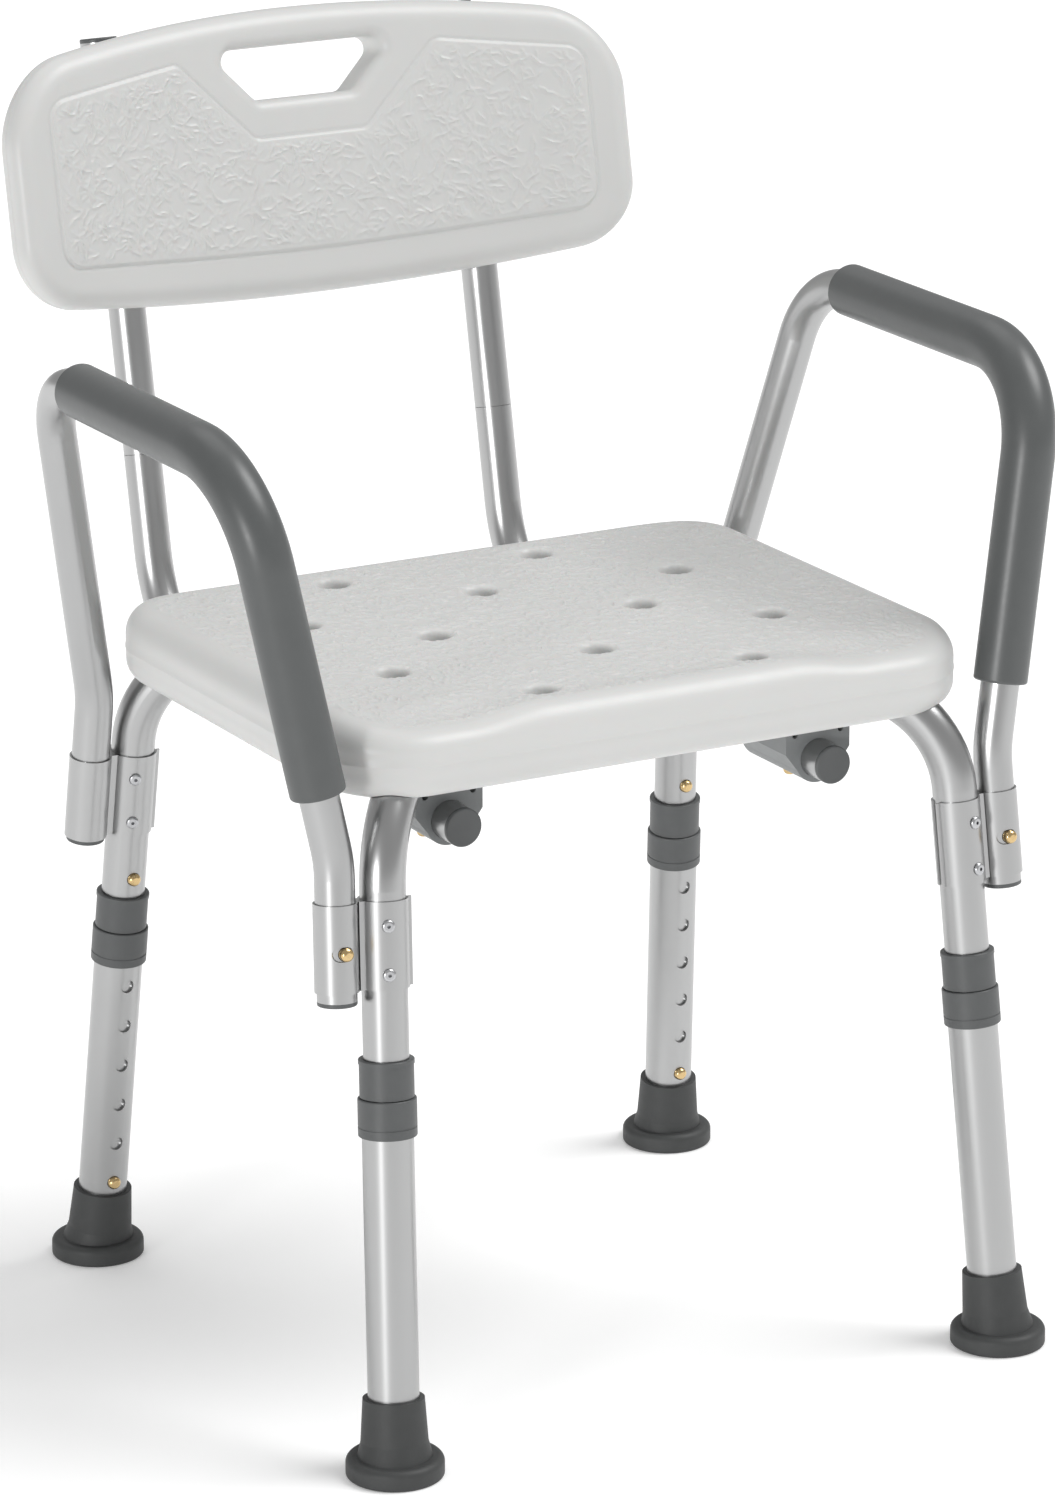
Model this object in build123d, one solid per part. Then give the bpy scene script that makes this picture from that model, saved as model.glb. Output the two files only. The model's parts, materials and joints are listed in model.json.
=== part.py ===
"""Shower chair with arms and a back, height-adjustable legs, in millimetres, +Z up.

The model is drawn with Y = 0 at the seat's centre and the sitter facing -Y. It is saved
with the origin on the floor, at the middle of the whole chair's box. Left and right are
as seen by someone who stands in front of the chair: left is -X.
"""

import os
from math import atan, degrees, hypot, sqrt

from build123d import *

# ---------------------------------------------------------------- driving dimensions
ORIGIN_Y = 56.63                # middle of the whole chair, measured from the seat's centre

# Legs: a straight line from the floor, splayed outwards to both sides
FOOT_X = 196.5
FOOT_Y = 190.5
SPLAY_X = 0.0417                # inward run per unit of height
SPLAY_Y = 0.1073
TUBE_WALL = 1.5
FRAME_OD = 25.4                 # one-inch frame and leg tubes
SPIGOT_OD = 22.2                # swaged top of a leg tube, inside the frame tube
EXTENSION_OD = 28.6             # 1-1/8 inch telescoping leg extension
SLIP = 0.1                      # radial running clearance
SEATED = 0.05                   # radial clearance of pieces pushed together for good

# Stations along a leg, measured from the floor
TIP_FLOOR = 12.0
TIP_TOP = 43.5
LEG_TUBE_BOTTOM = 40.0
FIRST_HOLE = 51.9
HOLE_PITCH = 25.4
HOLE_COUNT = 6
EXTENSION_TOP = 209.5
LOWER_COLLAR = (191.3, 212.8)
UPPER_COLLAR = (213.3, 234.5)
FRAME_TUBE_BOTTOM = 234.8
RELEASE_BUTTON = 246.6
SPIGOT_TOP = 277.0
BRACKET = (274.4, 323.6)
RIVETS = (283.3, 310.3)
RIVET_HOLE_R = 1.7
RIVET_HEAD_R = 3.7
ARM_BUTTON = 297.0

# Collars and foot tips
LOWER_COLLAR_R = 16.3
UPPER_COLLAR_R = 15.1
UPPER_COLLAR_RIM_R = 15.5
UPPER_COLLAR_RIM = 2.6
TIP_BASE_R = 27.4
TIP_BASE_HEIGHT = 11.5
TIP_NECK = (9.0, 21.5)          # height and radius where the neck leaves the base
TIP_MIDDLE = (19.0, 18.8)       # and along the leg, further up
TIP_MOUTH_R = 17.2

# Frame: two bent tubes that cross under the seat
CROSS_Z = 385.0
CROSS_BEND = 65.0
CRUSH_HALF_THICK = 6.1          # each tube is flattened where they cross
CRUSH_HALF_WIDTH = 16.4
CRUSH_LENGTH = 50.0
CRUSH_BLEND = 24.0

# Seat
SEAT_W = 404.0
SEAT_D = 325.0
SEAT_CENTRE_Y = 2.0
SEAT_BOTTOM = 372.0
SEAT_TOP = 417.0
SEAT_CORNER = 54.0
SEAT_WALL = 3.0
DRAIN_HOLES = [(67, 124), (67, 0), (67, -124), (122, 54), (122, -54)]
DRAIN_MIDDLE = [(0, 68), (0, -68)]
SEAT_BOLT_X = 66.0
SEAT_BOLT_R = 2.5
HOLDER_SCREW_R = 2.0
HUB_R = 52.0                    # recess round the crossing, in the seat's underside
HUB_SLACK = 2.0
DRAIN_R = 4.5
DRAIN_MOUTH_R = 8.0
DRAIN_MOUTH_DEPTH = 7.0

# Arms
ARM_OD = 22.2
SOCKET_R = 12.3
SOCKET_OFFSET = (28.0, 2.0)     # outward and inward from the leg's axis
ARM_X = 250.5
ARM_Z = 562.0
ARM_FRONT_Y = -130.5
ARM_REAR_Y = 113.5
ARM_FRONT_CORNER = 346.0
ARM_REAR_CORNER = 361.0
ARM_BEND = 60.0
ARM_REAR_BEND = 46.0
ARM_FOOT_BEND = 80.0
ARM_END_FRONT = 5.0             # how far the tube's end stands below its socket
ARM_END_REAR = 0.6
GRIP_OD = 31.0
GRIP_SLACK = 0.15
GRIP_EDGE = 1.6                 # rounding of the sleeve's two ends
GRIP_REAR_Y = 73.5
GRIP_END_Z = 383.0
PLUG_DEPTH = 12.0
PLUG_LIP = 2.5

# Back
BACK_X = 118.5
BACK_Z = 343.2
BACK_FRONT_Y = -127.0
BACK_CORNER_Y = 246.1
BACK_LEAN = 0.205               # rearward run per unit of height
BACK_BEND = 80.0
SEAM_Z = 464.6
POST_TOP_Z = 703.5
NECK_OD = 19.0
NECK_LENGTH = 55.0
PANEL_Z = 620.0                 # height where the panel's own coordinates start
PANEL_FACE_Y = 273.3            # front face there, on the centre line
PANEL_RADIUS = 708.0            # curve round the sitter
PANEL_THICK = 30.0
PANEL_HALF_W = 204.0
PANEL_CROWN = 100.0             # top and bottom edges on the centre line
PANEL_BELLY = -70.0
PANEL_SHOULDER = 76.8           # and where they would meet the sides
PANEL_HIP = -58.0
PANEL_SHOULDER_R = 45.0
PANEL_HIP_R = 35.0
PANEL_WALL = 3.0
PANEL_EDGE = 11.0
HANDLE_EDGE = 6.0
BACK_SCREW_HEIGHTS = (-38.0, 44.0)
BACK_SCREW_R = 2.0
HANDLE = [(-52, 78), (52, 78), (24, 47), (-24, 47)]
HANDLE_CORNER = 7.0

# Brackets that hold the back's tubes under the seat
HOLDER_LENGTH = 60.0
HOLDER_FRONT_Y = -112.0
HOLDER_W = 42.0
HOLDER_EAR_W = 58.0
HOLDER_EAR_T = 6.0
HOLDER_R = 14.6

# Snap buttons
BUTTON_R = 3.9
BUTTON_HOLE_R = 4.1
BUTTON_PROUD = 3.2
LEAF_T = 0.8
LEAF_LENGTH = 34.0

CORNERS = {"front_left": (-1, -1), "front_right": (1, -1), "rear_left": (-1, 1), "rear_right": (1, 1)}
SIDES = {"left": -1, "right": 1}

os.makedirs("parts", exist_ok=True)
nodes = {}


# ---------------------------------------------------------------- helpers
def leg_plane(sx, sy):
    """Local frame of a leg: origin at its foot, Z up along it, X to the right."""
    up = Vector(-sx * SPLAY_X, -sy * SPLAY_Y, 1).normalized()
    side = (Vector(1, 0, 0) - up * up.X).normalized()
    return Plane(origin=(sx * FOOT_X, sy * FOOT_Y, 0), x_dir=side, z_dir=up)


def on_leg(sx, sy, x, y, s):
    """World point of a leg's local point."""
    return leg_plane(sx, sy).from_local_coords(Vector(x, y, s))


def rod(radius, start, end, at=(0, 0)):
    """Solid cylinder from one height to another."""
    return Pos(at[0], at[1], (start + end) / 2) * Cylinder(radius, end - start)


def pipe(outer, inner, start, end, at=(0, 0)):
    """Straight tube from one height to another."""
    return rod(outer, start, end, at) - rod(inner, start - 1, end + 1, at)


def swept(path, *radii):
    """Solid of one radius, or tube of outer and inner radius, along a path."""
    section = Circle(radii[0])
    if len(radii) > 1:
        section -= Circle(radii[1])
    return sweep(Plane(origin=path @ 0, z_dir=path % 0) * section, path=path)


def snap_button(inner_r, outer_r, bore_r):
    """Brass snap pin and its steel leaf. The pin points along +X, the leaf runs along Z."""
    leaf_x = inner_r - 3.4
    length = outer_r + BUTTON_PROUD - leaf_x
    pin = Rot(0, 90, 0) * rod(BUTTON_R, 0, length)
    pin = fillet(pin.edges().filter_by(GeomType.CIRCLE).sort_by(Axis.X)[-1], 2.6)
    width = 1.8 * sqrt(bore_r**2 - (leaf_x + 0.4) ** 2)
    leaf = Pos(-LEAF_T / 2, 0, LEAF_LENGTH / 2 - 8) * Box(LEAF_T, min(width, 10), LEAF_LENGTH)
    return Pos(leaf_x, 0, 0) * (pin + leaf)


def save(name, shape):
    """Write one node, moved from the seat's centre to the chair's own origin."""
    nodes[name] = Pos(0, -ORIGIN_Y, 0) * shape
    export_step(nodes[name], f"parts/{name}.step")


# ---------------------------------------------------------------- legs
def button_turn(sy):
    """Turns +X to the direction that faces the middle of the chair, along Y."""
    return Rot(0, 0, -sy * 90)


def leg_tube(sy):
    r = FRAME_OD / 2
    wall_r = r - TUBE_WALL
    spigot_r = SPIGOT_OD / 2
    swage = UPPER_COLLAR[1]
    body = pipe(r, wall_r, LEG_TUBE_BOTTOM, swage)
    body += pipe(spigot_r, spigot_r - TUBE_WALL, swage - 2, SPIGOT_TOP)
    shoulder = rod(wall_r + 0.2, swage - 2, swage)
    body += shoulder - rod(spigot_r - TUBE_WALL, swage - 3, swage + 1)
    for station in (FIRST_HOLE, RELEASE_BUTTON):
        hole = button_turn(sy) * Pos(0, 0, station) * Rot(0, 90, 0) * rod(BUTTON_HOLE_R, 0, 40)
        body -= hole
    return body


def leg_extension(sy):
    r = EXTENSION_OD / 2
    body = pipe(r, r - TUBE_WALL, TIP_FLOOR + 0.3, EXTENSION_TOP)
    for k in range(HOLE_COUNT):
        station = FIRST_HOLE + k * HOLE_PITCH
        body -= button_turn(sy) * Pos(0, 0, station) * Rot(0, 90, 0) * rod(BUTTON_HOLE_R, 0, 40)
    return body


def lower_collar():
    """Cap ring on the extension's top: a skirt round the tube and a lip over its edge."""
    low, high = LOWER_COLLAR
    ring = rod(LOWER_COLLAR_R, low, high)
    rims = ring.edges().filter_by(GeomType.CIRCLE)
    ring = fillet(rims, 0.8)
    ring -= rod(EXTENSION_OD / 2 + SEATED, low - 1, EXTENSION_TOP + 0.1)
    ring -= rod(FRAME_OD / 2 + SLIP, low - 1, high + 1)
    groove = pipe(LOWER_COLLAR_R + 1, LOWER_COLLAR_R - 0.3, low + 5.2, low + 6.2)
    return ring - groove


def upper_collar():
    """Ring on the leg tube that the frame tube rests on, with a slim rim at its top."""
    low, high = UPPER_COLLAR
    rim_low = high - UPPER_COLLAR_RIM
    ring = rod(UPPER_COLLAR_R, low, rim_low + 0.1) + rod(UPPER_COLLAR_RIM_R, rim_low, high)
    ring = fillet(ring.edges().filter_by(GeomType.CIRCLE).sort_by(Axis.Z)[-1], 0.7)
    return ring - rod(FRAME_OD / 2 + SEATED, low - 1, high + 1)


def foot_tip(sx, sy):
    """Flared rubber tip: a flat round base on the floor and a tapered socket round the leg."""
    plane = leg_plane(sx, sy)
    centre = Pos(sx * FOOT_X, sy * FOOT_Y, 0)
    base = fillet(rod(TIP_BASE_R, 0, TIP_BASE_HEIGHT).edges().sort_by(Axis.Z)[-1], 4.0)
    base = fillet(base.edges().sort_by(Axis.Z)[0], 1.5)
    low_ring = centre * Pos(0, 0, TIP_NECK[0]) * Circle(TIP_NECK[1])
    neck = on_leg(sx, sy, 0, 0, TIP_MIDDLE[0])
    top = on_leg(sx, sy, 0, 0, TIP_TOP)
    mid_ring = Plane(origin=neck, x_dir=plane.x_dir, z_dir=plane.z_dir) * Circle(TIP_MIDDLE[1])
    top_ring = Plane(origin=top, x_dir=plane.x_dir, z_dir=plane.z_dir) * Circle(TIP_MOUTH_R)
    tip = centre * base + loft([low_ring, mid_ring]) + loft([mid_ring, top_ring])
    bore = plane * rod(EXTENSION_OD / 2 + SEATED, TIP_FLOOR, TIP_TOP + 5)
    return tip - bore


def legs():
    for corner, (sx, sy) in CORNERS.items():
        plane = leg_plane(sx, sy)
        save(f"leg_tube_{corner}", plane * leg_tube(sy))
        save(f"upper_collar_{corner}", plane * upper_collar())
        save(f"leg_extension_{corner}", plane * leg_extension(sy))
        save(f"lower_collar_{corner}", plane * lower_collar())
        save(f"foot_tip_{corner}", foot_tip(sx, sy))
        leg_r = FRAME_OD / 2
        height = snap_button(leg_r - TUBE_WALL, EXTENSION_OD / 2, leg_r - TUBE_WALL)
        save(f"height_button_{corner}", plane * Pos(0, 0, FIRST_HOLE) * button_turn(sy) * height)
        spigot_r = SPIGOT_OD / 2
        release = snap_button(spigot_r - TUBE_WALL, leg_r, spigot_r - TUBE_WALL)
        save(f"release_button_{corner}", plane * Pos(0, 0, RELEASE_BUTTON) * button_turn(sy) * release)


# ---------------------------------------------------------------- crossed frame
def cross_path(sx):
    """Centre line of the half tube from the crossing's blend to a front leg's end."""
    end = on_leg(sx, -1, 0, 0, FRAME_TUBE_BOTTOM)
    corner_height = CROSS_Z * hypot(1, SPLAY_X, SPLAY_Y)
    corner = on_leg(sx, -1, 0, 0, corner_height)
    away = Vector(corner.X, corner.Y, 0).normalized()
    start = away * (CRUSH_LENGTH / 2 + CRUSH_BLEND) + Vector(0, 0, CROSS_Z)
    return FilletPolyline(start, corner, end, radius=CROSS_BEND), away


def crossed_solid(sx, rise, radius):
    """Both halves of one frame tube as a solid of the given radius, flattened in the middle."""
    path, away = cross_path(sx)
    half = swept(path, radius)
    shrink = FRAME_OD / 2 - radius
    start = Plane(origin=path @ 0, x_dir=(-away.Y, away.X, 0), z_dir=away)
    level = Vector(0, 0, CROSS_Z + rise) + away * (CRUSH_LENGTH / 2)
    flat = Plane(origin=level, x_dir=start.x_dir, z_dir=away)
    oval = Ellipse(CRUSH_HALF_WIDTH - shrink, CRUSH_HALF_THICK - shrink)
    half += loft([flat * oval, start * Circle(radius)])
    half += extrude(flat * oval, -CRUSH_LENGTH / 2)
    return half + Rot(0, 0, 180) * half


def cross_tube(sx, rise):
    tube = crossed_solid(sx, rise, FRAME_OD / 2) - crossed_solid(sx, rise, FRAME_OD / 2 - TUBE_WALL)
    for sy in (-1, 1):
        side = sx * -sy
        plane = leg_plane(side, sy)
        for station in RIVETS:
            tube -= plane * Pos(0, 0, station) * rivet_turn(side) * Rot(0, 90, 0) * rod(RIVET_HOLE_R, 0, 20)
        turned = plane * Pos(0, 0, RELEASE_BUTTON) * button_turn(sy)
        tube -= turned * Rot(0, 90, 0) * rod(BUTTON_HOLE_R, 0, 20)
    for x, y in seat_bolt_places():
        if x * sx * y < 0:
            tube -= rod(SEAT_BOLT_R + SLIP, CROSS_Z - 20, CROSS_Z + 20, (x, y))
    return tube - rod(3.1, CROSS_Z - 20, CROSS_Z + 20)


def seat_bolt_places():
    slope = (FOOT_Y - SPLAY_Y * CROSS_Z) / (FOOT_X - SPLAY_X * CROSS_Z)
    return [(sx * SEAT_BOLT_X, sy * SEAT_BOLT_X * slope) for sx in (-1, 1) for sy in (-1, 1)]


def cross_rivet():
    """Rivet through both flattened tubes."""
    top = CROSS_Z + 2 * CRUSH_HALF_THICK + 0.35
    low = CROSS_Z - 2 * CRUSH_HALF_THICK - 0.35
    shank = rod(3.0, low - 1, top + 0.5)
    return shank + rod(5.5, low - 1.8, low) + rod(5.0, top, top + 1.0)


# ---------------------------------------------------------------- arm brackets
def rivet_turn(sx):
    """Turns +X to face the front of the chair, a little outwards."""
    return Rot(0, 0, -90 + sx * 16)


def arm_bracket(sx, sy):
    """Wrapped aluminium bracket: an open clamp round the leg and a closed arm socket."""
    socket = (sx * SOCKET_OFFSET[0], -sy * SOCKET_OFFSET[1])
    clamp_r = FRAME_OD / 2 + SEATED
    outline = Circle(clamp_r + 1.15)
    outline += Pos(*socket) * Circle(SOCKET_R)
    outline += Pos(socket[0] / 2, socket[1] / 2) * Rectangle(5, 10)
    outline += Pos(-sx * (clamp_r + 1.3), -3.6) * Rectangle(2.4, 1.2)
    outline -= Pos(*socket) * Circle(ARM_OD / 2 + SLIP)
    outline -= Circle(clamp_r)
    outline -= Pos(-sx * clamp_r, 0) * Rectangle(8, 6)
    low, high = BRACKET
    bracket = extrude(Plane.XY.offset(low) * outline, high - low)
    for station in RIVETS:
        bracket -= Pos(0, 0, station) * rivet_turn(sx) * Rot(0, 90, 0) * rod(RIVET_HOLE_R, 0, 20)
    if sy < 0:
        slot = Pos(socket[0] - 1.5, socket[1], ARM_BUTTON) * Rot(90, 0, 0)
        bracket -= slot * extrude(SlotOverall(12, 2 * BUTTON_HOLE_R), 20)
    return bracket


def bracket_rivet():
    """Blind rivet along +X: domed head with its mandrel hole, and a hollow shank."""
    face = FRAME_OD / 2 + SEATED + 1.15
    head = rod(RIVET_HEAD_R, face + 0.02, face + 1.7)
    head = fillet(head.edges().filter_by(GeomType.CIRCLE).sort_by(Axis.Z)[-1], 1.5)
    rivet = head + rod(RIVET_HOLE_R - SEATED, FRAME_OD / 2 - TUBE_WALL - 1.5, face + 0.1)
    return Rot(0, 90, 0) * (rivet - rod(1.0, face - 1.0, face + 3))


def arm_brackets():
    rivets = []
    for corner, (sx, sy) in CORNERS.items():
        plane = leg_plane(sx, sy)
        save(f"arm_bracket_{corner}", plane * arm_bracket(sx, sy))
        for station in RIVETS:
            rivets.append(plane * Pos(0, 0, station) * rivet_turn(sx) * bracket_rivet())
    save("bracket_rivets", Compound(rivets))


# ---------------------------------------------------------------- seat
def drain_places():
    return [(sx * x, y) for x, y in DRAIN_HOLES for sx in (-1, 1)] + DRAIN_MIDDLE


def seat_block(inset):
    """Rounded slab, smaller on every side by an inset."""
    outline = RectangleRounded(SEAT_W - 2 * inset, SEAT_D - 2 * inset, SEAT_CORNER - inset)
    low = SEAT_BOTTOM + inset
    block = Pos(0, SEAT_CENTRE_Y, low) * extrude(outline, SEAT_TOP - inset - low)
    edge = 13.0 - inset
    block = fillet(block.faces().sort_by(Axis.Z)[-1].edges(), edge)
    return fillet(block.faces().sort_by(Axis.Z)[0].edges(), edge)


def seat_recess(grow):
    """Grooves for the crossed tubes in the seat's underside, larger by a wall, as separate cutters."""
    top = CROSS_Z + 2 * CRUSH_HALF_THICK + HUB_SLACK + grow
    half = FRAME_OD / 2 + 0.6 + grow
    cutters = [rod(HUB_R + grow, SEAT_BOTTOM - 5, top)]
    for sx in (-1, 1):
        path, _ = cross_path(sx)
        corner = on_leg(sx, -1, 0, 0, CROSS_Z)
        turn = degrees(atan(corner.Y / corner.X))
        reach = hypot(corner.X, corner.Y) - CROSS_BEND * 0.62
        profile = Pos(0, CROSS_Z) * Circle(half) + Pos(0, CROSS_Z - 15) * Rectangle(2 * half, 30)
        groove = extrude(Plane.YZ * profile, reach, both=True)
        bend = swept(path, half)
        cutters += [Rot(0, 0, turn) * groove, bend, Rot(0, 0, 180) * bend]
    return cutters


def cut(body, cutters):
    for cutter in cutters:
        body -= cutter
    return body


def drains(grow):
    """Funnel-mouthed drain holes, larger by a wall."""
    hole = rod(DRAIN_R + grow, SEAT_BOTTOM - 5, SEAT_TOP + 5)
    mouth_low = SEAT_TOP - DRAIN_MOUTH_DEPTH - grow
    mouth = loft([
        Pos(0, 0, mouth_low) * Circle(DRAIN_R + grow),
        Pos(0, 0, SEAT_TOP + 0.5) * Circle(DRAIN_MOUTH_R + grow),
    ])
    hole += mouth
    return [Pos(x, y + SEAT_CENTRE_Y, 0) * hole for x, y in drain_places()]


def seat_panel():
    """Blow-moulded seat: one hollow skin with tube grooves and drain columns."""
    cavity = cut(seat_block(SEAT_WALL), seat_recess(SEAT_WALL) + drains(SEAT_WALL))
    shell = seat_block(0) - cavity
    for x, y in seat_bolt_places():
        shell += rod(6, CROSS_Z + 10, SEAT_TOP - 1, (x, y))
    for x, y in holder_screw_places():
        shell += rod(4, SEAT_BOTTOM + 1, SEAT_BOTTOM + 16, (x, y))
    shell = cut(shell, seat_recess(0) + drains(0))
    for x, y in seat_bolt_places():
        shell -= rod(SEAT_BOLT_R + SLIP, CROSS_Z, SEAT_TOP - 6, (x, y))
    for x, y in holder_screw_places():
        shell -= rod(HOLDER_SCREW_R + SEATED, SEAT_BOTTOM - 1, SEAT_BOTTOM + 13, (x, y))
    for sx in (-1, 1):
        shell -= rod(2.5, SEAT_BOTTOM - 1, SEAT_BOTTOM + 6, (sx * 40, -110))
    return shell


def seat_bolts():
    """Four bolts up through the frame tubes into the seat."""
    low = CROSS_Z - FRAME_OD / 2
    bolt = rod(2 * SEAT_BOLT_R, low - 2.6, low - 0.3) + rod(SEAT_BOLT_R, low - 1, SEAT_TOP - 8)
    bolt -= rod(1.6, low - 4, low - 1.4)
    return [Pos(x, y, 0) * bolt for x, y in seat_bolt_places()]


# ---------------------------------------------------------------- arms
def socket_point(sx, sy, station):
    return on_leg(sx, sy, sx * SOCKET_OFFSET[0], -sy * SOCKET_OFFSET[1], station)


def arm_corners(sx):
    return [
        socket_point(sx, -1, BRACKET[0] - ARM_END_FRONT),
        socket_point(sx, -1, ARM_FRONT_CORNER),
        Vector(sx * ARM_X, ARM_FRONT_Y, ARM_Z),
        Vector(sx * ARM_X, ARM_REAR_Y, ARM_Z),
        socket_point(sx, 1, ARM_REAR_CORNER),
        socket_point(sx, 1, BRACKET[0] - ARM_END_REAR),
    ]


def arm_tube(sx):
    bends = [ARM_FOOT_BEND, ARM_BEND, ARM_REAR_BEND, ARM_FOOT_BEND]
    path = FilletPolyline(*arm_corners(sx), radius=bends)
    tube = swept(path, ARM_OD / 2, ARM_OD / 2 - TUBE_WALL)
    hole = Pos(0, 0, ARM_BUTTON) * Rot(90, 0, 0) * rod(BUTTON_HOLE_R, 0, 20)
    at_socket = Pos(sx * SOCKET_OFFSET[0], SOCKET_OFFSET[1], 0)
    return tube - leg_plane(sx, -1) * at_socket * hole


def arm_grip(sx):
    """Soft sleeve over the arm's flat top, its front bend and down the front upright."""
    knee, top = arm_corners(sx)[1:3]
    reach = (top.Z - GRIP_END_Z) / (top.Z - knee.Z)
    path = FilletPolyline(
        Vector(sx * ARM_X, GRIP_REAR_Y, ARM_Z), top, top + (knee - top) * reach, radius=[ARM_BEND]
    )
    grip = swept(path, GRIP_OD / 2)
    ends = [e for e in grip.edges().filter_by(GeomType.CIRCLE) if is_end(e, path)]
    return fillet(ends, GRIP_EDGE) - swept(path, ARM_OD / 2 + GRIP_SLACK)


def is_end(edge, path):
    """True for a round edge about one of a path's two ends."""
    middle = edge.arc_center
    return min((middle - path @ 0).length, (middle - path @ 1).length) < 0.01


def tube_plug(outer_r, inner_r):
    """Push-in end plug: it points along -Z, with its lip below zero."""
    lip = fillet(rod(outer_r, -PLUG_LIP, 0).edges().sort_by(Axis.Z)[0], 1.0)
    return lip + rod(inner_r - SEATED, -0.5, PLUG_DEPTH)


def arm_plugs(sx):
    r = ARM_OD / 2
    plugs = []
    for sy, proud in ((-1, ARM_END_FRONT), (1, ARM_END_REAR)):
        at = Pos(sx * SOCKET_OFFSET[0], -sy * SOCKET_OFFSET[1], BRACKET[0] - proud - 0.02)
        plugs.append(leg_plane(sx, sy) * at * tube_plug(r, r - TUBE_WALL))
    return Compound(plugs)


def arms():
    for side, sx in SIDES.items():
        save(f"arm_tube_{side}", arm_tube(sx))
        save(f"arm_grip_{side}", arm_grip(sx))
        save(f"arm_plugs_{side}", arm_plugs(sx))
        r = ARM_OD / 2 - TUBE_WALL
        button = button_turn(1) * snap_button(r, SOCKET_R, r)
        at_socket = Pos(sx * SOCKET_OFFSET[0], SOCKET_OFFSET[1], ARM_BUTTON)
        save(f"arm_button_{side}", leg_plane(sx, -1) * at_socket * button)


# ---------------------------------------------------------------- back
def post_y(z):
    return BACK_CORNER_Y + BACK_LEAN * (z - BACK_Z)


def lean_plane(x, z):
    """Plane across a post at a height: Z up along the post, Y to the rear."""
    up = Vector(0, BACK_LEAN, 1).normalized()
    return Plane(origin=(x, post_y(z), z), x_dir=(1, 0, 0), z_dir=up)


def lower_back_tube(sx):
    path = FilletPolyline(
        Vector(sx * BACK_X, BACK_FRONT_Y, BACK_Z),
        Vector(sx * BACK_X, BACK_CORNER_Y, BACK_Z),
        Vector(sx * BACK_X, post_y(SEAM_Z), SEAM_Z),
        radius=[BACK_BEND],
    )
    tube = swept(path, ARM_OD / 2, ARM_OD / 2 - TUBE_WALL)
    at_button = Pos(sx * BACK_X, HOLDER_FRONT_Y + HOLDER_LENGTH / 2, BACK_Z)
    return tube - at_button * Rot(180, 0, 0) * rod(BUTTON_HOLE_R, 0, 20)


def back_front_plugs():
    plug = Rot(-90, 0, 0) * tube_plug(ARM_OD / 2, ARM_OD / 2 - TUBE_WALL)
    at_end = [Pos(sx * BACK_X, BACK_FRONT_Y - 0.02, BACK_Z) for sx in SIDES.values()]
    return Compound([place * plug for place in at_end])


def back_button(sx):
    """Snap button that points down through the front holder."""
    r = ARM_OD / 2 - TUBE_WALL
    button = Rot(0, 0, 90) * Rot(0, 90, 0) * snap_button(r, HOLDER_R, r)
    return Pos(sx * BACK_X, HOLDER_FRONT_Y + HOLDER_LENGTH / 2, BACK_Z) * button


def post_length():
    return (POST_TOP_Z - SEAM_Z) * hypot(1, BACK_LEAN)


def upper_post(sx):
    """Straight upright with a necked lower end that slips into the lower tube."""
    r = ARM_OD / 2
    post = pipe(r, r - TUBE_WALL, 0.3, post_length())
    post += pipe(NECK_OD / 2, NECK_OD / 2 - TUBE_WALL, -NECK_LENGTH, 3)
    shoulder = rod(r - TUBE_WALL + 0.2, 0.3, 3) - rod(NECK_OD / 2 - TUBE_WALL, 0, 4)
    post += shoulder
    for height in screw_stations():
        post -= Pos(0, 0, height) * Rot(90, 0, 0) * Cylinder(BACK_SCREW_R + SLIP, 60)
    return lean_plane(sx * BACK_X, SEAM_Z) * post


def screw_stations():
    seam = (SEAM_Z - PANEL_Z) * hypot(1, BACK_LEAN)
    return [height - seam for height in BACK_SCREW_HEIGHTS]


def post_caps():
    r = ARM_OD / 2
    cap = Rot(180, 0, 0) * tube_plug(r, r - TUBE_WALL)
    top = post_length() + 0.02
    return Compound([lean_plane(sx * BACK_X, SEAM_Z) * Pos(0, 0, top) * cap for sx in SIDES.values()])


def back_screws():
    """Pan-head screws from behind, through the posts into the panel."""
    r = ARM_OD / 2
    screws = []
    for sx in SIDES.values():
        for height in screw_stations():
            head = fillet(rod(4.2, r + 0.05, r + 2.6).edges().sort_by(Axis.Z)[-1], 1.4)
            screw = head + rod(BACK_SCREW_R, -r - 13, r + 1) - rod(1.5, r + 1.4, r + 5)
            screws.append(lean_plane(sx * BACK_X, SEAM_Z) * Pos(0, 0, height) * Rot(-90, 0, 0) * screw)
    return Compound(screws)


def panel_outline(inset):
    """Arched outline of the back panel in its own upright plane, smaller by an inset."""
    w = PANEL_HALF_W - inset
    top = PANEL_SHOULDER - inset
    low = PANEL_HIP + inset
    crown = ThreePointArc((-w, top), (0, PANEL_CROWN - inset), (w, top))
    belly = ThreePointArc((w, low), (0, PANEL_BELLY + inset), (-w, low))
    outline = make_face(crown + Line((w, top), (w, low)) + belly + Line((-w, low), (-w, top)))
    shoulders = [v for v in outline.vertices() if v.Y > 0]
    outline = fillet(shoulders, PANEL_SHOULDER_R - inset)
    hips = [v for v in outline.vertices() if v.Y < low + 1 and abs(v.X) > w - 1]
    return fillet(hips, PANEL_HIP_R - inset)


def handle_outline(grow):
    """Rounded trapezoid for the hand, larger by a wall."""
    hole = make_face(Polyline(*HANDLE, close=True))
    hole = fillet(hole.vertices(), HANDLE_CORNER)
    return offset(hole, grow) if grow else hole


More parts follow.
